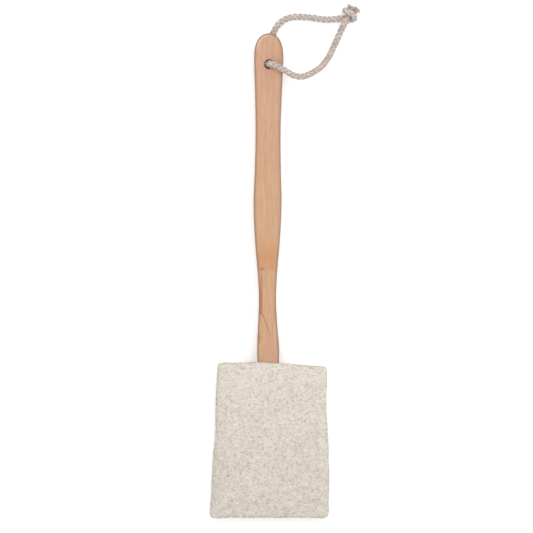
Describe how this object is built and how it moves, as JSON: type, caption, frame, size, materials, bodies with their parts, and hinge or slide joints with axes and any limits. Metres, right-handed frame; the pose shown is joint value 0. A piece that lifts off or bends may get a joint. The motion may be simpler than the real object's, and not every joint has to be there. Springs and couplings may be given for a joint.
{
  "type": "loofah back scrubber",
  "caption": "Long flat beech-handled back scrubber with a padded rectangular loofah head and a hanging loop of braided cotton cord.",
  "frame": {"origin": "under the middle of the rigid part (handle and head), on the surface that the scrubber lies on", "axes": "+Y runs from the head to the handle's tip, +Z out of the front face, and +X to the right of the front face with the tip up"},
  "size_m": [0.1348, 0.4572, 0.026],
  "materials": {
    "beech": "satin",
    "plywood": "matte",
    "screw_steel": "satin",
    "foam": "matte",
    "loofah": "matte",
    "thread": "matte",
    "cotton_cord": "matte"
  },
  "bodies": {
    "scrubber": {"handle": "beech", "core_board": "plywood", "screw_upper": "screw_steel", "screw_lower": "screw_steel", "foam_front": "foam", "foam_back": "foam", "loofah_front": "loofah", "loofah_back": "loofah", "seam_thread": "thread"},
    "cord_loop": {"cord_front": "cotton_cord", "cord_back": "cotton_cord", "cord_knot": "cotton_cord", "cord_tail_front": "cotton_cord", "cord_tail_back": "cotton_cord"}
  },
  "joints": [
    {"name": "cord_swing", "type": "hinge", "parent": "scrubber", "child": "cord_loop", "pos_m": [-0.0004, 0.1877, 0.013], "axis": [0, 0, 1], "range_deg": [-45, 215]}
  ]
}
